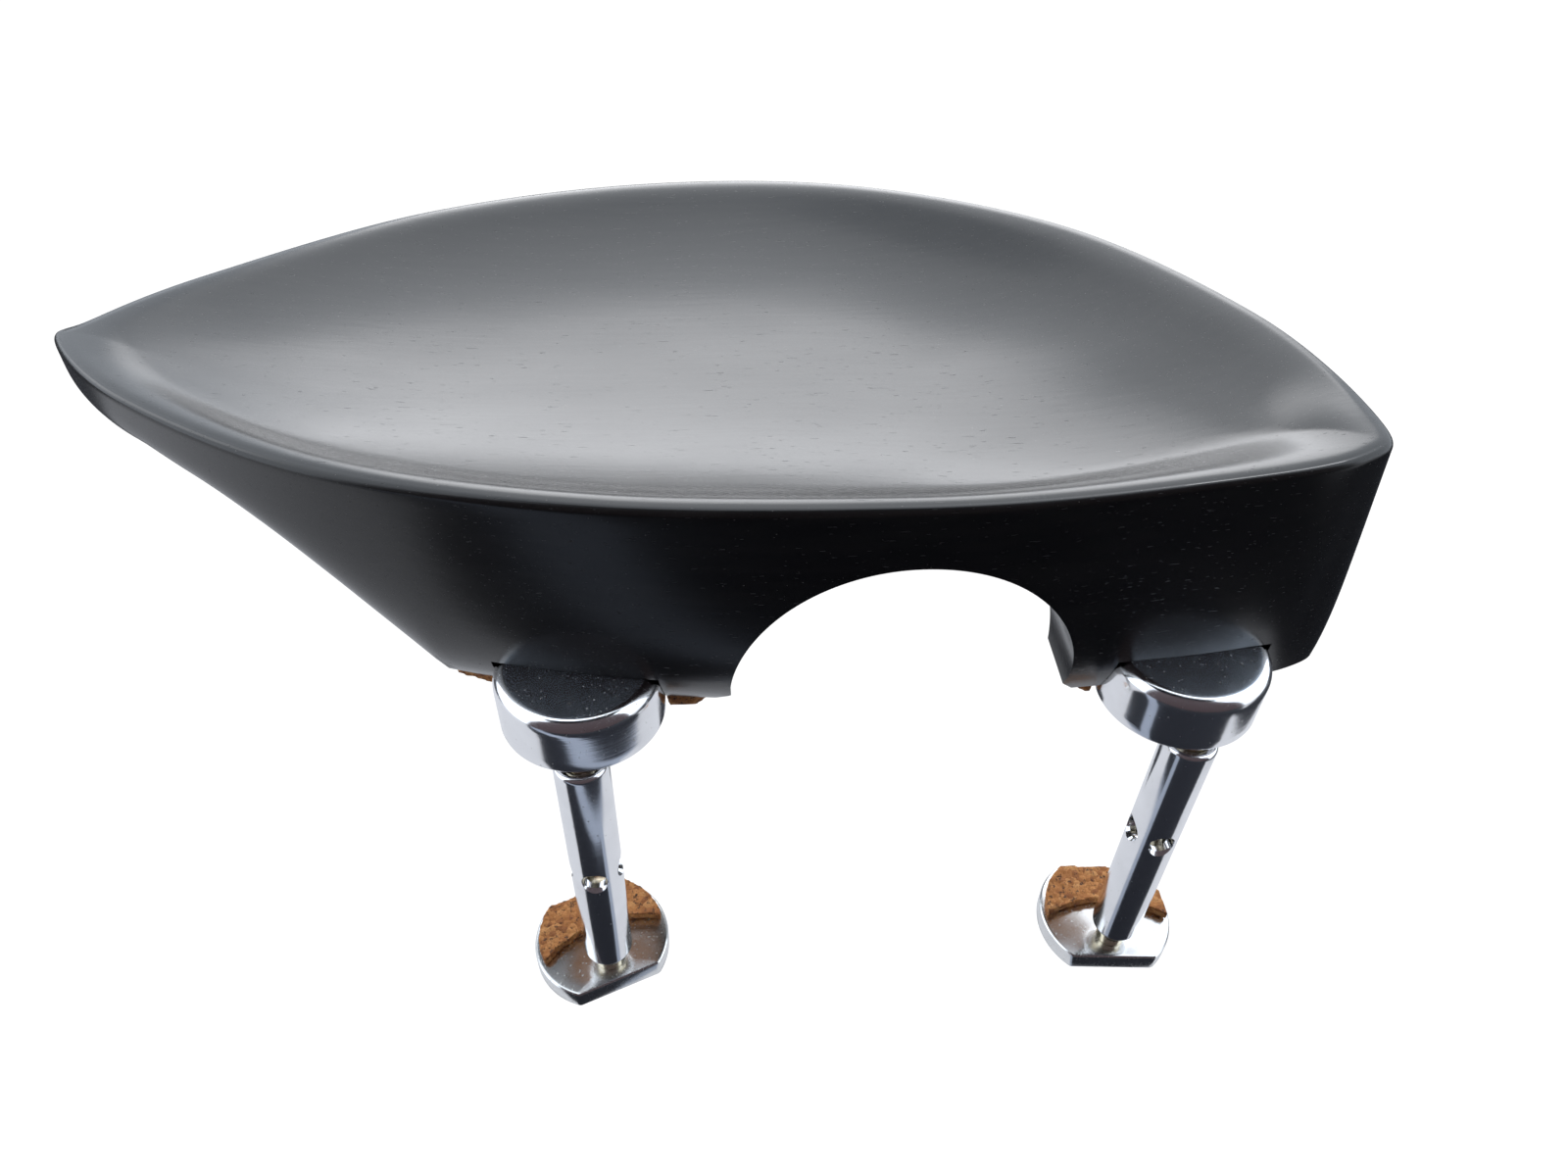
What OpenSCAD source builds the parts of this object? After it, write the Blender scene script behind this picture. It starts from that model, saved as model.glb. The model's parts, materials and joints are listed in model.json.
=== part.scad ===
// Over-the-tailpiece violin chin rest: a dished ebony plate on two screw clamps.
// X runs along the end of the violin, Y from its end block toward the bridge, Z up.
// Z = 0 is the underside of the two bracket heads, and the barrels stand at Y = 0.

/* [Plate] */
// Height of the rim above the bracket heads' underside, over the middle of the front
rim_height = 26.2; // [24.5:0.1:28]
// Depth of the dish below the rim
dish_depth = 4.6; // [4:0.1:5.2]
// Thickness of the wood at the edge of the plate
edge_thickness = 7; // [6:0.5:8]
// Thickness of the wood under the dish
floor_thickness = 6; // [5:0.5:7]
// Depth, front to back, of the thick block that stands on the violin
block_depth = 27; // [25:0.5:30]
// Radius of the arch that clears the tailpiece
arch_radius = 15.1; // [13:0.1:15.3]
// Height of the arch's centre at the front wall
arch_height = 4.7; // [3:0.1:4.9]
// Fall of the arch toward the bridge, in degrees
arch_fall = 5; // [4:0.5:8]

/* [Clamps] */
// Distance between the two barrels
barrel_spacing = 55; // [54:0.5:57]
// Diameter of a barrel
barrel_d = 5; // [4.8:0.1:5.4]
// Length of a barrel
barrel_length = 31.3; // [30:0.1:33]
// Gap between the bracket head and the barrel
barrel_gap = 0.5; // [0.4:0.1:1]
// Drop from a barrel's top to its key holes, left side
key_drop_left = 15.8; // [14:0.1:16]
// Drop from a barrel's top to its key holes, right side
key_drop_right = 13.5; // [13.3:0.1:16]
// Diameter of the four key holes round each barrel
key_hole_d = 2.4; // [1.8:0.1:2.4]
// Outside diameter of the threaded studs
stud_d = 3; // [2.8:0.1:3.2]
// Clearance round a stud in its barrel, on the radius
stud_clearance = 0.05; // [0.03:0.01:0.1]
// Visible length of the lower stud between barrel and foot
stud_show = 2.4; // [2:0.1:3]

/* [Brackets] */
// Diameter of a bracket's round head
head_d = 14.9; // [14.4:0.1:15.6]
// Thickness of a bracket's round head
head_thickness = 6; // [5:0.1:6.5]
// Distance from a barrel's axis back to the head's centre
head_inset = 5.5; // [5.2:0.1:5.6]
// Thickness of the tail plate let into the wood
tail_thickness = 1.6; // [1.2:0.1:2]

/* [Feet] */
// Diameter of a foot plate before its two flats
foot_d = 14.5; // [14:0.1:16]
// Distance across the two flats of a foot plate
foot_flats = 11.4; // [11:0.1:13]
// Thickness of a foot plate
foot_thickness = 2.4; // [2:0.1:2.6]
// Turn of the left foot about its stud
foot_turn_left = 22; // [0:1:40]
// Turn of the right foot about its stud
foot_turn_right = -4; // [-20:1:20]

/* [Cork] */
// Thickness of the cork under the plate
lining_thickness = 1.8; // [1.5:0.1:2]
// Height of the wood's underside above the bracket heads' underside
wood_underside = 1.3; // [1.2:0.05:1.5]
// Thickness of the cork on a foot
foot_cork_thickness = 1.2; // [1:0.1:2]

/* [Hidden] */
$fn = 64;
LEFT = -1;
RIGHT = 1;

// Corners of the plate's plan, counter-clockwise from its pointed left end
PLAN = [[-75, 31.5], [-65.5, 20.8], [-47, 9], [-24, 2.5], [0, 1.2], [22, 2.9], [36.2, 5.2],
    [39.6, 10.6], [36, 28], [23.2, 48.3], [2, 61], [-22, 63.6], [-46, 57.5], [-65.5, 43.8],
    [-73.6, 35]];
STEPS = 5;
DISH_X = -18;
DISH_Y = 33;
RIM_CORNER = 7;
MIDDLE = [15.6, 21];
CREST_KEEP = 0.9;
CREST_EASE = 0.35;
CREST_FALL = 1.5;
LIP_START = 0.9;
LIP_WIDTH = [4.6, 9];
LIP_DEPTH = [0.8, 4];
SAG = 0.9;
ROUND_R = 0.7;
CREST_TOP = 0.1;
ARCH_X = 0.9;
FLARE_START = 9;
FLARE_FALL = 17;
BLOCK_LEFT = -40;
RISE = 24;
TIP_LEFT = -60;
TIP_THINNING = 3;
UNDERCUT = 3.6;
UNDERCUT_RIGHT = 0.7;
CORNER_SPREAD = [3.2, 0.7];

head_r = head_d / 2;
barrel_top = -barrel_gap;
barrel_bottom = barrel_top - barrel_length;
foot_top = barrel_bottom - stud_show;
foot_bottom = foot_top - foot_thickness;
foot_inset = 2.9;
stud_r = stud_d / 2;
bore_r = stud_r + stud_clearance;
upper_stud_end = -12;
lower_stud_top = -19;
rivet_r = 1.3;
CORK_ARC = 12;
CORK_FRONT = 3.8;
FOOT_CORK_IN = 0.5;
screw_shank_r = 1.1;
screw_head_r = 2.2;
SCREW_FRONT = 16;
SCREW_REAR = 21;

function side_x(side) = side * barrel_spacing / 2;
function smooth(t) = let(u = max(0, min(1, t))) u * u * (3 - 2 * u);

// A point on the closed smooth curve through the plan's corners
function plan_curve(i, t) =
    let(
        n = len(PLAN),
        a = PLAN[(i + n - 1) % n],
        b = PLAN[i % n],
        c = PLAN[(i + 1) % n],
        d = PLAN[(i + 2) % n]
    )
    (2 * b + (c - a) * t + (2 * a - 5 * b + 4 * c - d) * t * t
        + (3 * b - a - 3 * c + d) * t * t * t) / 2;

OUTLINE = [for (i = [0 : len(PLAN) - 1]) for (k = [0 : STEPS - 1]) plan_curve(i, k / STEPS)];

// Height of the plane that the rim lies in, with a slight dip along the front
function rim_z(x, y) =
    rim_height + 0.03 * (x + 10) - 0.018 * (y - 3.5)
        - SAG * exp(-pow((x - 15) / 24, 2)) * smooth((30 - y) / 25);
// Distance from a place to the nearest of some steps of the plan's outline
function edge_distance(p, first, last) =
    min([for (i = [first : last])
        let(
            a = OUTLINE[i],
            step = OUTLINE[(i + 1) % len(OUTLINE)] - a,
            share = max(0, min(1, (p - a) * step / (step * step)))
        )
        norm(p - a - share * step)]);
// Drop of the wood's top below the rim's plane, at distances from the front and back of the
// rim. A lip along the front is lowest and widest toward the right.
function hollow(x, front, back) =
    let(
        right = smooth((x + 15) / 45),
        width = LIP_WIDTH[0] + (LIP_WIDTH[1] - LIP_WIDTH[0]) * right,
        depth = LIP_DEPTH[0] + (LIP_DEPTH[1] - LIP_DEPTH[0]) * right,
        middle = MIDDLE[0] + (MIDDLE[1] - MIDDLE[0]) * smooth((x - 2) / 32),
        g = min(1, front * back / (front + back + 1e-9) / middle),
        bowl = (dish_depth + CREST_KEEP) * (1 - pow(1 - g, 1.2)) - CREST_KEEP,
        fall = max(0, CREST_FALL - min(front, back)),
        lip = depth * smooth((front - LIP_START) / width) * back * back / (back * back + 60)
    )
    CREST_TOP + (bowl + norm([bowl, CREST_EASE])) / 2 + 0.133 * fall * fall + lip;
// How far a place belongs to the block that stands on the violin: 1 inside it, 0 outside
function block_share(x, y) =
    smooth((block_depth + 6 - y) / 6) * (1 - sin(90 * max(0, min(1, (BLOCK_LEFT - x) / RISE))));
// Thickness of the wood at the edge, thinner toward the pointed end
function edge_at(x) = edge_thickness - TIP_THINNING * smooth((TIP_LEFT - x) / 15);
function shell_z(x, y, drop) = rim_z(x, y) - max(edge_at(x), drop + floor_thickness);
// Underside of the wood
function under_z(x, y, drop) =
    let(m = block_share(x, y))
    m * wood_underside + (1 - m) * shell_z(x, y, drop);

// How far the foot of the wall stands in from the rim
function undercut(x) = UNDERCUT + (UNDERCUT_RIGHT - UNDERCUT) * smooth((x - 33) / 5);

// Rings of the plate: [surface, value]. The value is a share of the way out over the dish, an
// angle round the rim's outer edge, a share of the way down the wall, or a share of the way
// out under the wood. The foot of the right end's corner spreads outward.
DISH = 0;
ROUND = 1;
WALL = 2;
UNDER = 3;
RINGS = concat(
    [for (s = [0.2, 0.38, 0.52, 0.62, 0.7, 0.77, 0.83, 0.88, 0.92, 0.96, 1]) [DISH, s]],
    [for (a = [45, 90]) [ROUND, a]],
    [for (v = [0.5, 0.8, 1]) [WALL, v]],
    [for (s = [0.86, 0.72, 0.58, 0.46, 0.36, 0.26, 0.13]) [UNDER, s]]
);

function ring_point(p, ring) =
    let(
        away = p - [DISH_X, DISH_Y],
        reach = norm(away),
        narrow = undercut(p.x),
        kind = ring[0],
        v = ring[1],
        r = kind == DISH ? v * (reach - ROUND_R)
            : kind == ROUND ? reach - ROUND_R * (1 - sin(v))
            : kind == WALL ? reach - narrow * pow(v, 5.5)
            : v * (reach - narrow),
        spread = kind == WALL || kind == UNDER ? v * smooth((p.x - 37) / 2.6) : 0,
        x = DISH_X + away.x / reach * r + CORNER_SPREAD.x * spread,
        y = DISH_Y + away.y / reach * r + CORNER_SPREAD.y * spread,
        corner = RIM_CORNER * STEPS,
        front = edge_distance([x, y], 0, corner - 1),
        back = edge_distance([x, y], corner, len(OUTLINE) - 1),
        drop = hollow(x, front, back),
        wall_top = rim_z(x, y) - hollow(x, ROUND_R, 30) - ROUND_R,
        z = kind == UNDER ? under_z(x, y, drop)
            : kind == ROUND ? wall_top + ROUND_R * cos(v)
            : kind == WALL ? wall_top - v * (wall_top - under_z(x, y, drop))
            : rim_z(x, y) - drop
    )
    [x, y, z];

// The plate's wood before anything is cut from it
module plate_body() {
    n = len(OUTLINE);
    m = len(RINGS);
    points = concat(
        [for (ring = RINGS) for (p = OUTLINE) ring_point(p, ring)],
        [[DISH_X, DISH_Y, rim_z(DISH_X, DISH_Y) - hollow(DISH_X, 30, 30)],
         [DISH_X, DISH_Y, under_z(DISH_X, DISH_Y, hollow(DISH_X, 30, 30))]]
    );
    walls = [for (j = [0 : m - 2]) for (i = [0 : n - 1]) for (half = [0, 1])
        let(a = j * n + i, b = j * n + (i + 1) % n)
        half == 0 ? [a, a + n, b] : [b, a + n, b + n]];
    top_cap = [for (i = [0 : n - 1]) [m * n, i, (i + 1) % n]];
    under_cap = [for (i = [0 : n - 1]) [m * n + 1, (m - 1) * n + (i + 1) % n, (m - 1) * n + i]];
    polyhedron(points, concat(walls, top_cap, under_cap));
}

// Everything that a bracket fills in the wood, with a little to spare
module bracket_pocket(side) {
    translate([side_x(side), head_inset, -5])
        cylinder(h = head_thickness + 5 + 0.05, r = head_r + 0.05);
    translate([side_x(side), 0, -5])
        linear_extrude(5 + wood_underside + tail_thickness + 0.05)
            tail_outline(0.05);
    for (y = [SCREW_FRONT, SCREW_REAR])
        translate([side_x(side), y, wood_underside])
            cylinder(h = 9.5, r = screw_shank_r);
}

// Plan of a bracket's tail plate, grown by a clearance
module tail_outline(grow) {
    translate([-5.5 - grow, head_inset])
        square([11 + 2 * grow, SCREW_REAR - head_inset - 1]);
    translate([0, SCREW_REAR - 1])
        circle(r = 5.5 + grow);
}

// Tunnel for the tailpiece: an arch at the front, wider under the plate behind it
module tailpiece_tunnel() {
    translate([ARCH_X, 0, arch_height])
        rotate([-90 - arch_fall, 0, 0])
            translate([0, 0, -10])
                cylinder(h = 90, r = arch_radius, $fn = 96);
    translate([ARCH_X, FLARE_START, 0])
        rotate([-90 - FLARE_FALL, 0, 0])
            cylinder(h = 24, r1 = arch_radius + 1.6, r2 = arch_radius + 6, $fn = 96);
    for (side = [LEFT, RIGHT])
        translate([ARCH_X + side * arch_radius * 0.94, 0, 0])
            rotate([90, 0, 0])
                translate([0, 0, -40])
                    linear_extrude(45)
                        polygon([[0, 4], [side * 2.2, wood_underside], [side * 2.2, -1],
                            [-side * 3, -1], [-side * 3, 4]]);
}

// Dished plate that the chin lies on
module chin_plate() {
    color([0.07, 0.065, 0.065])
    difference() {
        plate_body();
        tailpiece_tunnel();
        bracket_pocket(LEFT);
        bracket_pocket(RIGHT);
    }
}

// Cork under one half of the block, cut away round the bracket's head
module cork_lining(side) {
    color([0.74, 0.52, 0.28])
    difference() {
        translate([0, 0, wood_underside - lining_thickness])
            linear_extrude(lining_thickness)
                lining_outline(side);
        translate([side_x(side), head_inset, -5])
            cylinder(h = 20, r = head_r + 0.15);
    }
}

// Plan of a cork lining
module lining_outline(side) {
    if (side == LEFT)
        polygon([[-39.6, 10.7], [-34, 8.5], [-24, 6], [-17.5, 5.7], [-16, 7], [-19.6, 25.6],
            [-39.6, 25.6]]);
    else
        polygon([[17.8, 7], [19.2, 5.9], [34, 7.6], [38.1, 8.5], [41.6, 11.6], [39.6, 18],
            [34.8, 25.6], [21.4, 25.6]]);
}

// Bracket under one side of the plate: round head, tail plate and screw holes
module upper_bracket(side) {
    color([0.8, 0.81, 0.83])
    difference() {
        union() {
            translate([side_x(side), head_inset, 0])
                rotate_extrude()
                    head_profile();
            translate([side_x(side), 0, wood_underside])
                linear_extrude(tail_thickness)
                    tail_outline(0);
        }
        for (y = [SCREW_FRONT, SCREW_REAR])
            translate([side_x(side), y, wood_underside]) {
                translate([0, 0, -0.01])
                    cylinder(h = tail_thickness + 1, r = screw_shank_r + 0.05);
                translate([0, 0, -0.01])
                    cylinder(h = 1.15, r1 = screw_head_r + 0.05, r2 = screw_shank_r + 0.05);
            }
        translate([side_x(side), 0, -1])
            cylinder(h = 5, r = stud_r);
    }
}

// Half profile of a bracket's head, rounded over its top edge
module head_profile() {
    round_r = 1.3;
    square([head_r - round_r, head_thickness]);
    translate([0, 0.3])
        square([head_r, head_thickness - round_r - 0.3]);
    translate([head_r - round_r, head_thickness - round_r])
        circle(r = round_r, $fn = 32);
    polygon([[0, 0], [head_r - 0.3, 0], [head_r, 0.3], [0, 0.3]]);
}

// Countersunk wood screw that holds a bracket's tail
module bracket_screw(side, y) {
    color([0.7, 0.71, 0.72])
    translate([side_x(side), y, wood_underside])
    difference() {
        union() {
            cylinder(h = 1.1, r1 = screw_head_r, r2 = screw_shank_r);
            cylinder(h = 8, r = screw_shank_r);
            translate([0, 0, 8])
                cylinder(h = 1.4, r1 = screw_shank_r, r2 = 0.1);
        }
        translate([-3, -0.25, -1])
            cube([6, 0.5, 1.5]);
    }
}

// Threaded stud fixed in a bracket's head
module upper_stud(side) {
    color([0.72, 0.73, 0.75])
    translate([side_x(side), 0, upper_stud_end])
        cylinder(h = 4 - upper_stud_end, r = stud_r);
}

// Turned sleeve that joins the two studs, with four key holes round its middle
module barrel(side, key_drop) {
    r = barrel_d / 2;
    color([0.82, 0.83, 0.85])
    translate([side_x(side), 0, 0])
    difference() {
        union() {
            translate([0, 0, barrel_bottom + 1])
                cylinder(h = barrel_length - 1.4, r = r);
            translate([0, 0, barrel_top - 0.4])
                cylinder(h = 0.4, r1 = r, r2 = r - 0.35);
            translate([0, 0, barrel_bottom + 0.4])
                cylinder(h = 0.6, r1 = r - 0.25, r2 = r);
            translate([0, 0, barrel_bottom])
                cylinder(h = 0.4, r1 = r - 0.6, r2 = r - 0.25);
        }
        translate([0, 0, barrel_bottom - 1])
            cylinder(h = barrel_length + 2, r = bore_r);
        for (turn = [0, 90])
            translate([0, 0, barrel_top - key_drop])
                rotate([90, 0, turn])
                    cylinder(h = barrel_d + 2, r = key_hole_d / 2, center = true);
    }
}

// Threaded stud that carries a foot, riveted over below it
module lower_stud(side) {
    color([0.83, 0.78, 0.62])
    translate([side_x(side), 0, 0]) {
        translate([0, 0, foot_top + 0.02])
            cylinder(h = lower_stud_top - foot_top - 0.02, r = stud_r);
        translate([0, 0, foot_bottom - 0.3])
            cylinder(h = foot_thickness + 0.5, r = rivet_r);
        translate([0, 0, foot_bottom - 0.62])
            cylinder(h = 0.6, r1 = 1.6, r2 = 2.2);
    }
}

// Plan of a foot about its stud: a disc with a flat in front and a flat behind
module foot_outline(shrink) {
    translate([0, foot_inset])
        intersection() {
            circle(r = foot_d / 2 - shrink);
            square([foot_d, foot_flats - 2 * shrink], center = true);
        }
}

// Turns a foot's parts about the stud as they stand at rest
module foot_place(side) {
    translate([side_x(side), 0, 0])
        rotate([0, 0, side == LEFT ? foot_turn_left : foot_turn_right])
            children();
}

// Metal plate that bears on the violin's back through its cork
module foot_plate(side) {
    color([0.78, 0.79, 0.8])
    foot_place(side)
    difference() {
        union() {
            translate([0, 0, foot_bottom + 0.3])
                linear_extrude(foot_thickness - 0.3)
                    foot_outline(0);
            translate([0, 0, foot_bottom])
                linear_extrude(0.3)
                    foot_outline(0.35);
        }
        translate([0, 0, foot_bottom - 1])
            cylinder(h = foot_thickness + 2, r = rivet_r + 0.04);
    }
}

// Cork pad on the back half of a foot
module foot_cork(side) {
    color([0.74, 0.5, 0.26])
    foot_place(side)
    translate([0, 0, foot_top])
        linear_extrude(foot_cork_thickness)
            difference() {
                foot_outline(FOOT_CORK_IN);
                translate([0, CORK_FRONT - CORK_ARC])
                    circle(r = CORK_ARC);
            }
}

chin_plate();
cork_lining(LEFT);  // cork_lining_left
cork_lining(RIGHT);  // cork_lining_right
upper_bracket(LEFT);  // upper_bracket_left
upper_bracket(RIGHT);  // upper_bracket_right
bracket_screw(LEFT, SCREW_FRONT);  // bracket_screw_left_front
bracket_screw(LEFT, SCREW_REAR);  // bracket_screw_left_rear
bracket_screw(RIGHT, SCREW_FRONT);  // bracket_screw_right_front
bracket_screw(RIGHT, SCREW_REAR);  // bracket_screw_right_rear
upper_stud(LEFT);  // upper_stud_left
upper_stud(RIGHT);  // upper_stud_right
barrel(LEFT, key_drop_left);  // barrel_left
barrel(RIGHT, key_drop_right);  // barrel_right
lower_stud(LEFT);  // lower_stud_left
lower_stud(RIGHT);  // lower_stud_right
foot_plate(LEFT);  // foot_plate_left
foot_plate(RIGHT);  // foot_plate_right
foot_cork(LEFT);  // foot_cork_left
foot_cork(RIGHT);  // foot_cork_right
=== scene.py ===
import json
import math

import bmesh
import bpy
import numpy as np
from mathutils import Matrix, Vector, noise


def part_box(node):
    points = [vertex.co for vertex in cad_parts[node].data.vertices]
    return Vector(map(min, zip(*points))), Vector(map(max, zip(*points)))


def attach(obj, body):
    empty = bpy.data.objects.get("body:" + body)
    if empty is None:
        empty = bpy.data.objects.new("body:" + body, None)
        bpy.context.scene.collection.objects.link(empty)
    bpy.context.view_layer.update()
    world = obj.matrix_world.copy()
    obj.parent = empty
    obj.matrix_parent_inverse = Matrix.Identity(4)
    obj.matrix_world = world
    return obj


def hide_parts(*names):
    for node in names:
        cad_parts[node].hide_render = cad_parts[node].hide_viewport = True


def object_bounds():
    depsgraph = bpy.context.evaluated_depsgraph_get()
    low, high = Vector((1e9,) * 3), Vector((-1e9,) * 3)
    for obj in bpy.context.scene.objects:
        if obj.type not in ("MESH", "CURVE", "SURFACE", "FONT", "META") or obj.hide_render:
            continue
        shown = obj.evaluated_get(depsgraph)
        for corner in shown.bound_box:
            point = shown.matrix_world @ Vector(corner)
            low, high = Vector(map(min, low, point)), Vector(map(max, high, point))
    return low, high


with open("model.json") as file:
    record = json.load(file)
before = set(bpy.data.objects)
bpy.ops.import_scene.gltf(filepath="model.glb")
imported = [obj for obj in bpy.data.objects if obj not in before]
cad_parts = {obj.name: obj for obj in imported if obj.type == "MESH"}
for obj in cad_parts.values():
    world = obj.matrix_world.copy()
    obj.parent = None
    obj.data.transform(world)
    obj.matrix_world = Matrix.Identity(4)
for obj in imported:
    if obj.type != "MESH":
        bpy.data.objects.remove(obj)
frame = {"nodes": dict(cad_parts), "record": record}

# Looks of a violin chin rest: a dished ebony plate on two turned screw clamps with cork pads.
# Shapes are worked out in millimetres in the CAD frame and turned to metres as they are made.

MM = 0.001
SIDES = {"left": -1, "right": 1}
cad_low, cad_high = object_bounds()


def box_mm(node):
    """Lowest and highest corners of a CAD node, in millimetres."""
    low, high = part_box(node)
    return np.array(low) / MM, np.array(high) / MM


# ---------------------------------------------------------------- camera

LENS = 25.875
CAMERA_AT = (-15.6, -63.5, 77.9)
CAMERA_DOWN = 42.57
CAMERA_ROLL = 1.89
CAMERA_YAW = -4.98


def camera_axes(down, roll, yaw):
    """Right, up and back directions of a camera that looks along +Y and down."""
    forward = Vector((
        -math.sin(yaw) * math.cos(down),
        math.cos(yaw) * math.cos(down),
        -math.sin(down),
    ))
    level = Vector((math.cos(yaw), math.sin(yaw), 0))
    upright = level.cross(forward)
    right = math.cos(roll) * level + math.sin(roll) * upright
    up = -math.sin(roll) * level + math.cos(roll) * upright
    return right, up, -forward


def make_camera():
    data = bpy.data.cameras.new("camera")
    data.lens = LENS
    data.sensor_width = 36
    data.clip_start = 0.005
    data.clip_end = 20
    camera = bpy.data.objects.new("camera", data)
    bpy.context.scene.collection.objects.link(camera)
    axes = camera_axes(*(math.radians(a) for a in (CAMERA_DOWN, CAMERA_ROLL, CAMERA_YAW)))
    turn = Matrix(axes).transposed().to_4x4()
    camera.matrix_world = Matrix.Translation(Vector(CAMERA_AT) * MM) @ turn
    bpy.context.scene.camera = camera


make_camera()

# ---------------------------------------------------------------- mesh helpers


def object_from(name, points, faces, crease=32):
    """A smooth-shaded mesh object from points in millimetres, sharp where faces meet steeply."""
    mesh = bpy.data.meshes.new(name)
    mesh.from_pydata([tuple(p) for p in np.asarray(points, float) * MM], [], faces)
    mesh.update()
    piece = bpy.data.objects.new(name, mesh)
    bpy.context.scene.collection.objects.link(piece)
    finish_mesh(piece, crease)
    return piece


def finish_mesh(piece, crease=32):
    """Welds, turns the faces outward and sets the shading."""
    tool = bmesh.new()
    tool.from_mesh(piece.data)
    bmesh.ops.remove_doubles(tool, verts=tool.verts, dist=1e-7)
    bmesh.ops.recalc_face_normals(tool, faces=tool.faces)
    tool.to_mesh(piece.data)
    tool.free()
    piece.data.shade_smooth()
    piece.data.set_sharp_from_angle(angle=math.radians(crease))


def loft(name, rings, wrap=False, caps=True, crease=32):
    """A skin over rings of equal length. wrap joins the last ring to the first."""
    count = len(rings[0])
    points = np.concatenate(rings)
    faces = []
    for j in range(len(rings) if wrap else len(rings) - 1):
        here = j * count
        there = ((j + 1) % len(rings)) * count
        for i in range(count):
            k = (i + 1) % count
            faces.append((here + i, here + k, there + k, there + i))
    if caps and not wrap:
        faces.append(tuple(range(count)))
        faces.append(tuple((len(rings) - 1) * count + i for i in range(count)))
    return object_from(name, points, faces, crease)


def turned(name, centre, profile, segments=96, wrap=False, crease=32):
    """A lathe-turned piece: profile holds (radius, height), and wrap leaves it open inside."""
    angles = np.linspace(0, 2 * math.pi, segments, endpoint=False)
    circle = np.stack([np.cos(angles), np.sin(angles)], axis=1)
    rings = []
    for radius, height in profile:
        ring = circle * max(radius, 1e-4) + np.array(centre)[:2]
        rings.append(np.column_stack([ring, np.full(segments, float(height))]))
    return loft(name, rings, wrap=wrap, crease=crease)


def arc(radius_at, height_at, radius, start, end, steps=6):
    """Points (radius, height) along a quarter round."""
    turns = np.radians(np.linspace(start, end, steps + 1))
    return [(radius_at + radius * math.cos(t), height_at + radius * math.sin(t)) for t in turns]


def apply_modifier(piece, kind, **settings):
    """Adds a modifier, applies it and keeps its result as the mesh."""
    modifier = piece.modifiers.new(kind, kind)
    for key, value in settings.items():
        setattr(modifier, key, value)
    depsgraph = bpy.context.evaluated_depsgraph_get()
    mesh = bpy.data.meshes.new_from_object(piece.evaluated_get(depsgraph))
    piece.modifiers.clear()
    piece.data = mesh


def cut(piece, cutters, operation="DIFFERENCE"):
    """Cuts or joins whole solids, and removes the tools."""
    for cutter in cutters:
        bpy.context.view_layer.update()
        apply_modifier(piece, "BOOLEAN", operation=operation, object=cutter, solver="EXACT")
        bpy.data.objects.remove(cutter)


def rod(start, direction, profile, segments=96):
    """A cutter turned about any line: profile holds (radius, distance along it)."""
    piece = turned("rod", (0, 0), profile, segments)
    way = Vector(direction).normalized().to_track_quat("Z", "Y").to_matrix().to_4x4()
    piece.data.transform(Matrix.Translation(Vector(start) * MM) @ way)
    return piece


def prism(name, outline, low, high):
    """A straight block over a plan."""
    plan = np.array(outline, float)
    rings = [np.column_stack([plan, np.full(len(plan), z)]) for z in (low, high)]
    return loft(name, rings)


def smooth(t):
    u = np.clip(t, 0, 1)
    return u * u * (3 - 2 * u)


# ---------------------------------------------------------------- materials


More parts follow.
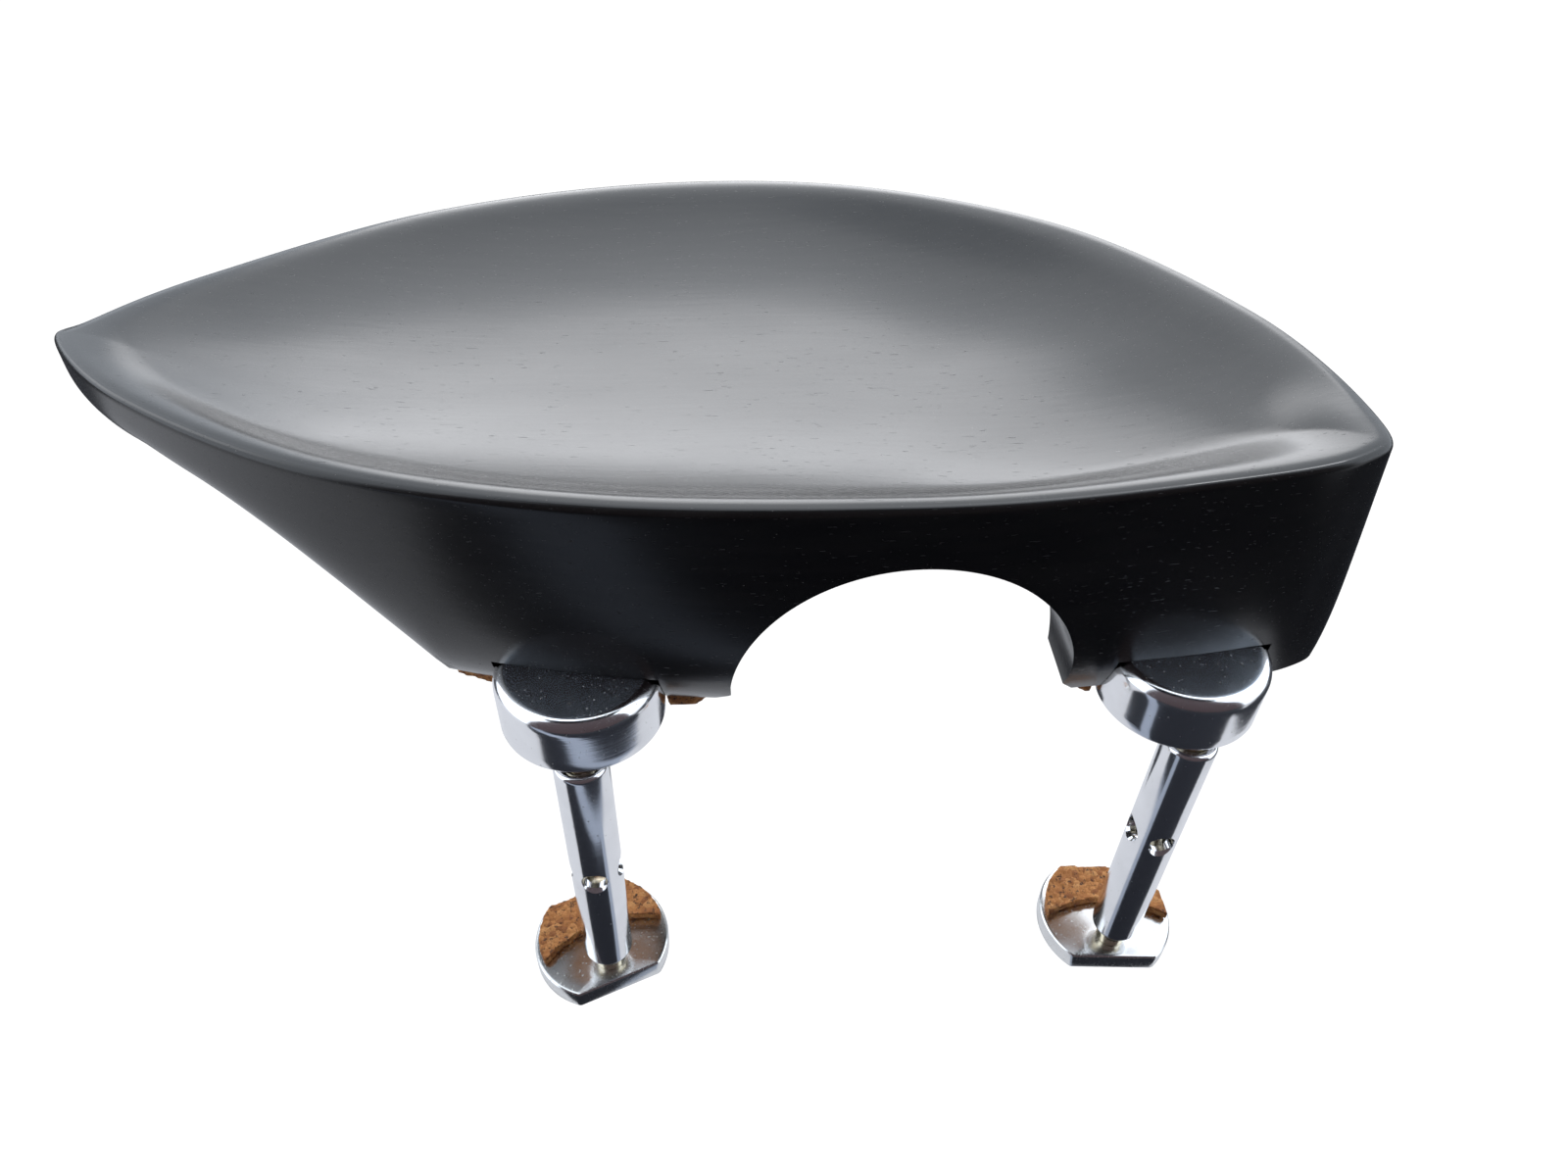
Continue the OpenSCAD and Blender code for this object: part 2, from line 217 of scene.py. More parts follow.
class Paint:
    """A node material on one Principled shader, with short ways to add what it needs."""

    def __init__(self, name, **constants):
        self.material = bpy.data.materials.new(name)
        self.material.use_nodes = True
        self.tree = self.material.node_tree
        self.tree.nodes.clear()
        self.output = self.node("ShaderNodeOutputMaterial")
        self.shader = self.node("ShaderNodeBsdfPrincipled")
        self.link(self.shader.outputs[0], self.output.inputs[0])
        for key, value in constants.items():
            self.shader.inputs[key].default_value = value
        self.place = self.node("ShaderNodeTexCoord").outputs["Object"]

    def node(self, kind, **settings):
        made = self.tree.nodes.new(kind)
        for key, value in settings.items():
            setattr(made, key, value)
        return made

    def link(self, source, target):
        self.tree.links.new(source, target)

    def scaled(self, x, y, z):
        """Object coordinates with features of about these sizes, in millimetres."""
        mapping = self.node("ShaderNodeMapping")
        mapping.inputs["Scale"].default_value = (1000 / x, 1000 / y, 1000 / z)
        self.link(self.place, mapping.inputs["Vector"])
        return mapping.outputs[0]

    def noise(self, place, detail=3.0, roughness=0.5, distortion=0.0):
        made = self.node("ShaderNodeTexNoise")
        made.inputs["Scale"].default_value = 1.0
        made.inputs["Detail"].default_value = detail
        made.inputs["Roughness"].default_value = roughness
        made.inputs["Distortion"].default_value = distortion
        self.link(place, made.inputs["Vector"])
        return made.outputs["Fac"]

    def ramp(self, value, *stops):
        """stops are (position, colour or grey)."""
        made = self.node("ShaderNodeValToRGB")
        elements = made.color_ramp.elements
        while len(elements) < len(stops):
            elements.new(0.5)
        for element, (position, colour) in zip(elements, stops):
            element.position = position
            if isinstance(colour, (int, float)):
                colour = (colour, colour, colour)
            element.color = (*colour, 1)
        self.link(value, made.inputs[0])
        return made.outputs["Color"]

    def mix(self, share, first, second, blend="MIX"):
        made = self.node("ShaderNodeMix", data_type="RGBA", blend_type=blend)
        sockets = (made.inputs[0], made.inputs[6], made.inputs[7])
        for value, socket in zip((share, first, second), sockets):
            if isinstance(value, (int, float)):
                socket.default_value = value
            elif isinstance(value, tuple):
                socket.default_value = (*value, 1)
            else:
                self.link(value, socket)
        return made.outputs[2]

    def math(self, operation, first, second=0.0):
        made = self.node("ShaderNodeMath", operation=operation)
        for value, socket in ((first, made.inputs[0]), (second, made.inputs[1])):
            if isinstance(value, (int, float)):
                socket.default_value = value
            else:
                self.link(value, socket)
        return made.outputs[0]

    def colour(self, source):
        self.link(source, self.shader.inputs["Base Color"])

    def roughness(self, source):
        self.link(source, self.shader.inputs["Roughness"])

    def bump(self, height, depth_mm, strength=1.0):
        """Adds a bump whose full height is depth_mm, on top of any earlier one."""
        made = self.node("ShaderNodeBump")
        made.inputs["Strength"].default_value = strength
        made.inputs["Distance"].default_value = depth_mm * MM
        self.link(height, made.inputs["Height"])
        earlier = self.shader.inputs["Normal"].links
        if earlier:
            self.link(earlier[0].from_socket, made.inputs["Normal"])
        self.link(made.outputs[0], self.shader.inputs["Normal"])


def ebony_paint():
    """Near-black ebony, oiled to a satin sheen, with fine open pores along the grain."""
    paint = Paint("ebony", Metallic=0.0)
    broad = paint.noise(paint.scaled(30, 5, 5), detail=3)
    streak = paint.noise(paint.scaled(9, 0.7, 0.7), detail=4, distortion=0.4)
    pore = paint.noise(paint.scaled(1.6, 0.16, 0.16), detail=2, roughness=0.6)
    dust = paint.noise(paint.scaled(0.35, 0.2, 0.2), detail=1)
    base = paint.ramp(broad, (0.3, (0.0045, 0.0043, 0.0046)), (0.7, (0.0075, 0.0069, 0.0067)))
    streaks = paint.ramp(streak, (0.42, 0.0), (0.62, 1.0))
    stained = paint.mix(streaks, base, (0.0095, 0.0088, 0.0085))
    pores = paint.ramp(pore, (0.69, 0.0), (0.75, 1.0))
    pored = paint.mix(pores, stained, (0.003, 0.0028, 0.0028))
    flecks = paint.ramp(dust, (0.78, 0.0), (0.80, 1.0))
    paint.colour(paint.mix(flecks, pored, (0.10, 0.095, 0.09)))
    wear = paint.noise(paint.scaled(14, 7, 7), detail=4)
    satin = paint.ramp(wear, (0.3, 0.21), (0.7, 0.27))
    paint.roughness(paint.mix(pores, satin, (0.50, 0.50, 0.50)))
    paint.bump(paint.math("SUBTRACT", 1.0, pores), 0.010)
    paint.bump(streak, 0.006)
    return paint.material


def cork_paint():
    """Sheet cork: packed granules in mixed browns with dark flecks between them."""
    paint = Paint("cork", Metallic=0.0)
    cells = paint.node("ShaderNodeTexVoronoi", feature="F1")
    cells.inputs["Scale"].default_value = 1.0
    wobble = paint.noise(paint.scaled(0.5, 0.5, 0.5), detail=3)
    place = paint.node("ShaderNodeVectorMath", operation="MULTIPLY_ADD")
    paint.link(wobble, place.inputs[0])
    place.inputs[1].default_value = (0.5, 0.5, 0.5)
    paint.link(paint.scaled(0.6, 0.6, 0.6), place.inputs[2])
    paint.link(place.outputs[0], cells.inputs["Vector"])
    tone = paint.node("ShaderNodeSeparateColor")
    paint.link(cells.outputs["Color"], tone.inputs[0])
    granules = paint.ramp(
        tone.outputs[0],
        (0.0, (0.27, 0.090, 0.022)),
        (0.25, (0.42, 0.160, 0.040)),
        (0.6, (0.52, 0.215, 0.058)),
        (1.0, (0.62, 0.300, 0.100)),
    )
    fine = paint.noise(paint.scaled(0.16, 0.16, 0.16), detail=4, roughness=0.7)
    mottled = paint.mix(paint.ramp(fine, (0.35, 0.0), (0.7, 0.6)), granules, (0.18, 0.065, 0.020))
    dark = paint.noise(paint.scaled(0.45, 0.45, 0.45), detail=3, roughness=0.65)
    paint.colour(paint.mix(paint.ramp(dark, (0.57, 0.0), (0.64, 0.9)), mottled, (0.035, 0.016, 0.010)))
    paint.roughness(paint.ramp(fine, (0.3, 0.75), (0.7, 0.95)))
    paint.bump(paint.ramp(cells.outputs["Distance"], (0.0, 1.0), (0.8, 0.0)), 0.10)
    paint.bump(fine, 0.06)
    return paint.material


def plated_paint(name, tint, low, high, lines=0.004, dusty=0.0, metal=1.0):
    """Bright plating over turned metal: faint turning lines, hazy patches and a little dust."""
    paint = Paint(name, Metallic=metal)
    haze = paint.noise(paint.scaled(3.0, 3.0, 3.0), detail=4)
    rings = paint.noise(paint.scaled(40, 40, 0.12), detail=2)
    specks = paint.noise(paint.scaled(0.35, 0.35, 0.35), detail=1)
    toned = paint.ramp(haze, (0.3, tint), (0.75, tuple(c * 0.93 for c in tint)))
    dust = paint.ramp(specks, (0.74 - 0.08 * dusty, 0.0), (0.79, 1.0))
    paint.colour(paint.mix(dust, toned, (0.62, 0.62, 0.60)))
    gloss = paint.ramp(haze, (0.3, low), (0.75, high))
    paint.roughness(paint.mix(dust, gloss, (0.45, 0.45, 0.45)))
    paint.bump(rings, lines)
    return paint.material


EBONY = ebony_paint()
CORK = cork_paint()
CHROME = plated_paint("chrome", (0.90, 0.905, 0.92), 0.11, 0.16)
CHROME_FOOT = plated_paint("chrome_satin", (0.80, 0.805, 0.80), 0.17, 0.27, dusty=1.0)
# Top faces of the heads: duller, dustier chrome with a blue tint and a small diffuse share, a painted
# blue-grey sky reflection.
CHROME_TOP_SKY_TINTED = plated_paint("chrome_face_painted_sky_tint", (0.70, 0.77, 0.86), 0.18, 0.28, dusty=0.3, metal=0.93)
STUD = plated_paint("stud_metal", (0.80, 0.72, 0.54), 0.14, 0.24, lines=0.008)
SCREW = plated_paint("screw_steel", (0.62, 0.62, 0.61), 0.22, 0.34, lines=0.01)


def dress(piece, material, slot, body, *nodes):
    """Gives a piece its material and body, and hides the CAD nodes it stands for. The slot argument is
    not used.
    """
    piece.data.materials.clear()
    piece.data.materials.append(material)
    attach(piece, body)
    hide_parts(*nodes)
    return piece


# ---------------------------------------------------------------- chin plate

# Corners of the plate's plan, counter-clockwise from its pointed left end, and the values that
# shape it, as in the CAD source. The visual plate lies INSIDE_CAD within the CAD's.
PLAN = [
    (-75, 31.5), (-65.5, 20.8), (-47, 9), (-24, 2.5), (0, 1.2), (22, 2.9), (36.2, 5.2),
    (39.6, 10.6), (36, 28), (23.2, 48.3), (2, 61), (-22, 63.6), (-46, 57.5), (-65.5, 43.8),
    (-73.6, 35),
]
DISH = np.array([-18.0, 33.0])
RIM_HEIGHT = 26.2
RIM_CORNER = 7
DISH_DEPTH = 4.6
MIDDLE = (15.6, 21.0)
MIDDLE_FROM = 2.0
MIDDLE_GROWTH = 32.0
BOWL_POWER = 1.2
CREST_KEEP = 0.9
CREST_EASE = 0.35
CREST_FALL = 1.5
CREST_CURVE = 0.133
LIP_START = 0.9
LIP_FROM = -15.0
LIP_GROWTH = 45.0
LIP_BACK = 60.0
LIP_WIDTH = (4.6, 9.0)
LIP_DEPTH = (0.8, 4.0)
RIM_AT = (-10.0, 3.5)
RIM_SLOPE_X = 0.03
RIM_SLOPE_Y = 0.018
SAG = 0.9
SAG_X = 15.0
SAG_WIDTH = 24.0
SAG_BACK = 30.0
SAG_FADE = 25.0
ROUND_R = 0.7
FAR_BACK = 30.0
INSIDE_CAD = 0.05
CREST_TOP = 0.10 + INSIDE_CAD
CORNER_SPREAD = np.array([3.2, 0.7])
EDGE_THICKNESS = 7.0
FLOOR_THICKNESS = 6.0
BLOCK_DEPTH = 27.0
WOOD_UNDERSIDE = 1.3
ARCH_X = 0.9
ARCH_RADIUS = 15.1
ARCH_HEIGHT = 4.7
ARCH_FALL = math.radians(5)
FLARE_START = 9.0
FLARE_FALL = math.radians(17)
BLOCK_LEFT = -40.0
BLOCK_RISE = 24.0
BLOCK_FADE = 6.0
TIP_LEFT = -60.0
TIP_FADE = 15.0
TIP_THINNING = 3.0
UNDERCUT = 3.6
UNDERCUT_RIGHT = 0.7
UNDERCUT_FROM = 33.0
UNDERCUT_FADE = 5.0
WALL_POWER = 5.5
CORNER_START = 37.0
CORNER_WIDTH = 2.6
TAIL_HALF = 5.5
TAIL_THICKNESS = 1.6
POCKET_ROOM = 0.05


def plan_outline(steps=24):
    """The closed smooth curve through the plan's corners."""
    corners = np.array(PLAN, float)
    a, b = np.roll(corners, 1, axis=0), corners
    c, d = np.roll(corners, -1, axis=0), np.roll(corners, -2, axis=0)
    t = np.linspace(0, 1, steps, endpoint=False)[None, :, None]
    a, b, c, d = (p[:, None, :] for p in (a, b, c, d))
    curve = (2 * b + (c - a) * t + (2 * a - 5 * b + 4 * c - d) * t**2
             + (3 * b - a - 3 * c + d) * t**3) / 2
    return curve.reshape(-1, 2)


def rim_z(p):
    """The plane the rim lies in, with a slight dip along the front."""
    across = (p[:, 0] - SAG_X) / SAG_WIDTH
    dip = SAG * np.exp(-across ** 2) * smooth((SAG_BACK - p[:, 1]) / SAG_FADE)
    x, y = RIM_AT
    return RIM_HEIGHT + RIM_SLOPE_X * (p[:, 0] - x) - RIM_SLOPE_Y * (p[:, 1] - y) - dip


def edge_distance(p, edge):
    """Distance from each point to the nearest part of an open or closed line."""
    step = edge[1:] - edge[:-1]
    away = p[:, None, :] - edge[None, :-1, :]
    share = np.clip((away * step).sum(2) / (step * step).sum(1), 0, 1)
    return np.linalg.norm(away - share[:, :, None] * step, axis=2).min(1)


def hollow(p, front, back):
    """Drop below the rim's plane at given distances from the front and back of the rim."""
    right = smooth((p[:, 0] - LIP_FROM) / LIP_GROWTH)
    width = LIP_WIDTH[0] + (LIP_WIDTH[1] - LIP_WIDTH[0]) * right
    depth = LIP_DEPTH[0] + (LIP_DEPTH[1] - LIP_DEPTH[0]) * right
    eased = smooth((p[:, 0] - MIDDLE_FROM) / MIDDLE_GROWTH)
    middle = MIDDLE[0] + (MIDDLE[1] - MIDDLE[0]) * eased
    g = np.minimum(front * back / (front + back + 1e-9) / middle, 1)
    bowl = (DISH_DEPTH + CREST_KEEP) * (1 - (1 - g) ** BOWL_POWER) - CREST_KEEP
    fall = np.maximum(CREST_FALL - np.minimum(front, back), 0)
    lip = depth * smooth((front - LIP_START) / width) * back**2 / (back**2 + LIP_BACK)
    crest = CREST_TOP + CREST_CURVE * fall**2
    return crest + (bowl + np.hypot(bowl, CREST_EASE)) / 2 + lip


def under_z(p, front, back):
    """Underside of the wood: a block at the front that fades into a shell."""
    rise = 1 - np.sin(np.radians(90 * np.clip((BLOCK_LEFT - p[:, 0]) / BLOCK_RISE, 0, 1)))
    block = smooth((BLOCK_DEPTH + BLOCK_FADE - p[:, 1]) / BLOCK_FADE) * rise
    edge = EDGE_THICKNESS - TIP_THINNING * smooth((TIP_LEFT - p[:, 0]) / TIP_FADE)
    shell = rim_z(p) - np.maximum(edge, hollow(p, front, back) + FLOOR_THICKNESS)
    return block * WOOD_UNDERSIDE + (1 - block) * shell


def plate_rings():
    """Rings over the dish, round its rim, down the wall and back under the wood."""
    edge = plan_outline()
    corner = RIM_CORNER * len(edge) // len(PLAN)
    closed = np.concatenate([edge, edge[:1]])
    length = np.linalg.norm(edge - DISH, axis=1)
    way = (edge - DISH) / length[:, None]
    reach = length - INSIDE_CAD
    narrow = undercut(edge[:, 0])
    corner_spread = smooth((edge[:, :1] - CORNER_START) / CORNER_WIDTH) * CORNER_SPREAD
    rings = []

    def ring(distance, height, spread=0.0):
        p = DISH + way * distance[:, None] + spread * corner_spread
        front = edge_distance(p, closed[: corner + 1])
        back = edge_distance(p, closed[corner:])
        rings.append(np.column_stack([p, height(p, front, back)]))

    for share in [*np.linspace(0.03, 0.88, 34), *np.linspace(0.89, 1, 30)]:
        ring(share * (reach - ROUND_R), lambda p, front, back: rim_z(p) - hollow(p, front, back))
    for turn in np.radians(np.linspace(12, 90, 8)):
        drop = ROUND_R * (1 - math.cos(turn))
        ring(reach - ROUND_R * (1 - math.sin(turn)), lambda p, front, back: crest_z(p) - drop)
    for down in np.linspace(0.04, 1, 18):
        distance = reach - narrow * down**WALL_POWER
        ring(distance, lambda p, front, back: wall_z(p, front, back, down), down)
    for share in np.linspace(0.97, 0.03, 32):
        ring(share * (reach - narrow), under_z, share)
    return rings


def crest_z(p):
    """Height of the rim just inside its rounded outer edge."""
    return rim_z(p) - hollow(p, ROUND_R, FAR_BACK)


def undercut(x):
    """How far the foot of the wall stands in from the rim."""
    return UNDERCUT + (UNDERCUT_RIGHT - UNDERCUT) * smooth((x - UNDERCUT_FROM) / UNDERCUT_FADE)


def wall_z(p, front, back, down):
    top = crest_z(p) - ROUND_R
    return top - down * (top - under_z(p, front, back))


def tunnel_cutters():
    """The arch over the tailpiece, its flare behind, and the eased corners of its feet."""
    fall = Vector((0, math.cos(ARCH_FALL), -math.sin(ARCH_FALL)))
    start = Vector((ARCH_X, 0, ARCH_HEIGHT)) - fall * 10
    arch = rod(start, fall, [(ARCH_RADIUS, 0), (ARCH_RADIUS, 90)], 160)
    flare_way = Vector((0, math.cos(FLARE_FALL), -math.sin(FLARE_FALL)))
    flare_profile = [(ARCH_RADIUS + 1.6, 0), (ARCH_RADIUS + 6, 24)]
    flare = rod((ARCH_X, FLARE_START, 0), flare_way, flare_profile, 160)
    corners = []
    for side in SIDES.values():
        x = ARCH_X + side * ARCH_RADIUS * 0.94
        ease = side * 2.2
        inner = -side * 3
        plan = [(0, 4), (ease, WOOD_UNDERSIDE), (ease, -1), (inner, -1), (inner, 4)]
        rings = [np.array([(x + a, y, z) for a, z in plan]) for y in (-5, 40)]
        corners.append(loft("corner", rings))
    return [arch, flare, *corners]


def pocket_cutters(side):
    """Room in the wood for a bracket's head and tail."""
    low, high = box_mm(f"upper_bracket_{side}")
    x = (low[0] + high[0]) / 2
    radius = (high[0] - low[0]) / 2
    head_y = low[1] + radius
    room = radius + POCKET_ROOM
    head = turned("head_room", (x, head_y), [(room, -5), (room, high[2] + POCKET_ROOM)], 160)
    tail_top = WOOD_UNDERSIDE + TAIL_THICKNESS + POCKET_ROOM
    tail = prism("tail_room", tail_plan(x, head_y, high[1], POCKET_ROOM), -5, tail_top)
    return [head, tail]


def tail_plan(x, start, end, grow):
    """Plan of a bracket's tail: straight sides and a round end."""
    half = TAIL_HALF + grow
    centre = end - TAIL_HALF
    turns = np.radians(np.linspace(0, 180, 33))
    round_end = [(x + half * math.cos(t), centre + half * math.sin(t)) for t in turns]
    return [(x - half, start), (x + half, start), *round_end]


def make_plate():
    plate = loft("chin_plate_wood", plate_rings(), crease=38)
    cutters = tunnel_cutters() + pocket_cutters("left") + pocket_cutters("right")
    cut(plate, cutters)
    finish_mesh(plate, 38)
    dress(plate, EBONY, "ebony", "rest", "chin_plate")


make_plate()

# ---------------------------------------------------------------- clamps


def make_bracket(side):
    """Round head with a bullnose top edge, and the tail let into the wood. Its top face is duller and
    dustier, and tinted blue-grey as a painted sky reflection.
    """
    low, high = box_mm(f"upper_bracket_{side}")
    x = (low[0] + high[0]) / 2
    radius = (high[0] - low[0]) / 2
    head_y = low[1] + radius
    round_r = 1.3
    profile = [(0, 0), (radius - 0.9, 0), *arc(radius - 0.3, 0.3, 0.3, -90, 0, 4)]
    profile += [(radius, 1.2), (radius, high[2] - round_r - 0.6)]
    profile += arc(radius - round_r, high[2] - round_r, round_r, 0, 90, 10)
    profile += [(radius - round_r - 0.25, high[2]), (0, high[2])]
    head = turned(f"bracket_head_{side}", (x, head_y), profile, 160)
    tail_top = WOOD_UNDERSIDE + TAIL_THICKNESS
    tail = prism("tail", tail_plan(x, head_y, high[1], 0), WOOD_UNDERSIDE, tail_top)
    cut(head, [tail], "UNION")
    countersink = [(2.75, 0), (1.15, 1.6), (1.15, 4)]
    start = WOOD_UNDERSIDE - 0.5
    cut(head, [rod((x, y, start), (0, 0, 1), countersink, 48) for y in screw_rows(side)])
    finish_mesh(head, 32)
    dress(head, CHROME, "chrome", "rest", f"upper_bracket_{side}")
    # The upward top face takes the blue-tinted chrome: painted sky reflection.
    head.data.materials.append(CHROME_TOP_SKY_TINTED)
    for face in head.data.polygons:
        if face.normal.z > 0.98 and face.center.z > 0.9 * high[2] * MM:
            face.material_index = 1


def screw_rows(side):
    rows = []
    for row in ("front", "rear"):
        low, high = box_mm(f"bracket_screw_{side}_{row}")
        rows.append((low[1] + high[1]) / 2)
    return rows


def make_screw(side, row):
    """Slotted countersunk wood screw with a tapering thread."""
    name = f"bracket_screw_{side}_{row}"
    low, high = box_mm(name)
    x, y = (low[0] + high[0]) / 2, (low[1] + high[1]) / 2
    head_r = (high[0] - low[0]) / 2
    profile = [(head_r, low[2]), (head_r, low[2] + 0.12), (1.1, low[2] + 1.15)]
    for k in range(9):
        z = low[2] + 1.9 + k * 0.75
        wide = 1.1 if k < 8 else 0.7
        profile += [(wide, z), (wide - 0.35, z + 0.25), (wide - 0.35, z + 0.5)]
    profile += [(0.1, high[2])]
    piece = turned(name + "_turned", (x, y), profile, 40, crease=28)
    slot_plan = [(x - 3, y - 0.25), (x + 3, y - 0.25), (x + 3, y + 0.25), (x - 3, y + 0.25)]
    cut(piece, [prism("slot", slot_plan, low[2] - 1, low[2] + 0.5)])
    finish_mesh(piece, 28)
    dress(piece, SCREW, "screw_steel", "rest", name)


def threaded(name, x, low, high, radius, pitch=0.7, plain_low=0.0, plain_high=0.0):
    """A stud with a real helical thread between its plain ends."""
    around = 48
    angles = np.linspace(0, 2 * math.pi, around, endpoint=False)
    heights = np.arange(low, high, pitch / 10)
    rings = []
    for z in [*heights, high]:
        phase = (z / pitch - angles / (2 * math.pi)) % 1.0
        tooth = np.clip(1.25 * (1 - np.abs(2 * phase - 1)) - 0.1, 0, 1)
        fade = smooth((z - low - plain_low) / 0.5) * smooth((high - plain_high - z) / 0.5)
        r = radius - 0.30 * fade * (1 - tooth)
        if z >= high - 1e-6 or z <= low + 1e-6:
            r = r - 0.25
        rings.append(np.column_stack([x + r * np.cos(angles), r * np.sin(angles), np.full(around, z)]))
    return loft(name, rings, crease=50)


def make_upper_stud(side):
    node = f"upper_stud_{side}"
    low, high = box_mm(node)
    piece = threaded(node + "_threaded", (low[0] + high[0]) / 2, low[2], high[2],
                     (high[0] - low[0]) / 2, plain_high=4.0)
    dress(piece, STUD, "stud_metal", "rest", node)


STUD_RADIUS = 1.5
BORE_RADIUS = 1.55
KEY_HOLE_RADIUS = 1.2
RIVET_RADIUS = 1.3
JOURNAL_RADIUS = 1.34


def make_barrel(side):
    """Turned sleeve with rounded ends and two crossed, countersunk key holes."""
    node = f"barrel_{side}"
    low, high = box_mm(node)
    x = (low[0] + high[0]) / 2
    radius = (high[0] - low[0]) / 2
    bore = BORE_RADIUS
    key_z = 1000 * next(
        m["pos_m"][2] for m in frame["record"]["mounts"] if m["name"] == f"key_hole_{side}_front"
    )
    profile = [(bore, low[2] + 0.3), (bore + 0.15, low[2])]
    profile += arc(radius - 0.7, low[2] + 0.7, 0.7, -90, 0, 10)
    profile += [(radius, key_z + step) for step in (-7, -2.4, -1.9, 1.9, 2.4, 6)]
    profile += arc(radius - 0.45, high[2] - 0.45, 0.45, 0, 90, 6)
    profile += [(bore + 0.2, high[2]), (bore, high[2] - 0.4)]
    barrel = turned(f"{node}_turned", (x, 0), profile, 128, wrap=True)
    hole = KEY_HOLE_RADIUS
    rim = 0.12
    for way in ((0, 1, 0), (1, 0, 0)):
        reach = radius + 1
        edge = math.sqrt(radius**2 - hole**2)
        shape = [(hole + rim + 0.9, 0), (hole, reach - edge + rim), (hole, reach + edge - rim),
                 (hole + rim + 0.9, 2 * reach)]
        start = Vector((x, 0, key_z)) - Vector(way) * reach
        cut(barrel, [rod(start, way, shape, 64)])
    finish_mesh(barrel, 25)
    dress(barrel, CHROME, "chrome", node, node)


def make_lower_stud(side):
    """Threaded stud that swells to a shoulder on the foot and is riveted over below it."""
    node = f"lower_stud_{side}"
    low, high = box_mm(node)
    x = (low[0] + high[0]) / 2
    foot_low, foot_high = box_mm(f"foot_plate_{side}")
    shoulder = foot_high[2] + 0.02
    shank = threaded(node + "_threaded", x, shoulder, high[2], STUD_RADIUS, plain_low=1.0)
    journal = [(RIVET_RADIUS, foot_low[2] - 0.35), (RIVET_RADIUS, shoulder + 0.3)]
    cut(shank, [turned("journal", (x, 0), journal, 64)], "UNION")
    dome = [(0.3, low[2]), (1.0, low[2] + 0.03), (1.65, low[2] + 0.14), (2.1, low[2] + 0.34),
            (2.2, low[2] + 0.48), (2.15, low[2] + 0.58), (1.2, low[2] + 0.6)]
    cut(shank, [turned("rivet", (x, 0), dome, 64)], "UNION")
    finish_mesh(shank, 40)
    dress(shank, STUD, "stud_metal", f"stud_{side}", node)


FOOT_TURN = {"left": 22.0, "right": -4.0}
FOOT_INSET = 2.9
FOOT_RADIUS = 14.5 / 2
FOOT_FLATS = 11.4
BARREL_X = (box_mm("barrel_right")[0][0] + box_mm("barrel_right")[1][0]) / 2


def foot_ring(side, shrink, z, count=192):
    """Plan of a foot at one height: a disc with a flat in front and one behind."""
    angles = np.linspace(0, 2 * math.pi, count, endpoint=False)
    radius = FOOT_RADIUS - shrink
    half = FOOT_FLATS / 2 - shrink
    rays = np.minimum(radius, half / np.maximum(np.abs(np.sin(angles)), 1e-6))
    x = rays * np.cos(angles)
    y = rays * np.sin(angles) + FOOT_INSET
    turn = math.radians(FOOT_TURN[side])
    return np.column_stack([
        SIDES[side] * BARREL_X + x * math.cos(turn) - y * math.sin(turn),
        x * math.sin(turn) + y * math.cos(turn),
        np.full(count, z),
    ])


def hole_ring(side, radius, z, count=192):
    """The journal's hole, with its points in step with the foot's outline."""
    outline = foot_ring(side, 0, z, count)
    centre = np.array([SIDES[side] * BARREL_X, 0, z])
    away = outline - centre
    return centre + away / np.linalg.norm(away, axis=1)[:, None] * radius


def make_foot(side):
    """Foot plate with softened edges and a flat satin top."""
    node = f"foot_plate_{side}"
    low, high = box_mm(node)
    z0, z1 = low[2], high[2]
    steps = [(0.35, z0), (0.10, z0 + 0.10), (0, z0 + 0.35), (0, z1 - 0.45),
             (0.06, z1 - 0.2), (0.2, z1 - 0.05), (0.42, z1)]
    rings = [hole_ring(side, JOURNAL_RADIUS, z0)]
    rings += [foot_ring(side, shrink, z) for shrink, z in steps]
    rings += [hole_ring(side, JOURNAL_RADIUS, z1)]
    foot = loft(f"{node}_milled", rings, wrap=True, crease=28)
    dress(foot, CHROME_FOOT, "chrome", f"foot_{side}", node)


# ---------------------------------------------------------------- cork


def make_cork(node, body, voxel, rough):
    """Cork cut from sheet: the CAD solid with crumbly edges and uneven faces."""
    source = frame["nodes"][node]
    piece = bpy.data.objects.new(f"{node}_sheet", source.data.copy())
    bpy.context.scene.collection.objects.link(piece)
    bpy.context.view_layer.update()
    apply_modifier(piece, "REMESH", mode="VOXEL", voxel_size=voxel * MM)
    for vertex in piece.data.vertices:
        place = vertex.co / MM
        grain = noise.noise(place * 1.1) * 0.6 + noise.noise(place * 3.1) * 0.4
        vertex.co -= vertex.normal * rough * MM * (0.5 + 0.9 * grain)
    finish_mesh(piece, 60)
    dress(piece, CORK, "cork", body, node)


for side in SIDES:
    make_bracket(side)
    for row in ("front", "rear"):
        make_screw(side, row)
    make_upper_stud(side)
    make_barrel(side)
    make_lower_stud(side)
    make_foot(side)
    make_cork(f"cork_lining_{side}", "rest", 0.4, 0.10)
    make_cork(f"foot_cork_{side}", f"foot_{side}", 0.25, 0.10)

# ---------------------------------------------------------------- studio


def plain_material(name, colour, glow=0.0):
    """Matt card for the floor and the studio's flags."""
    paint = Paint(name, Roughness=0.9, Metallic=0.0)
    paint.shader.inputs["Base Color"].default_value = (*colour, 1)
    paint.shader.inputs["Emission Color"].default_value = (*colour, 1)
    paint.shader.inputs["Emission Strength"].default_value = glow
    return paint.material


def card(name, corners, material):
    """A flat stage card from corners in millimetres."""
    mesh = bpy.data.meshes.new(name)
    mesh.from_pydata([tuple(np.array(c) * MM) for c in corners], [], [(0, 1, 2, 3)])
    piece = bpy.data.objects.new(name, mesh)
    piece.data.materials.append(material)
    bpy.context.scene.collection.objects.link(piece)
    return piece


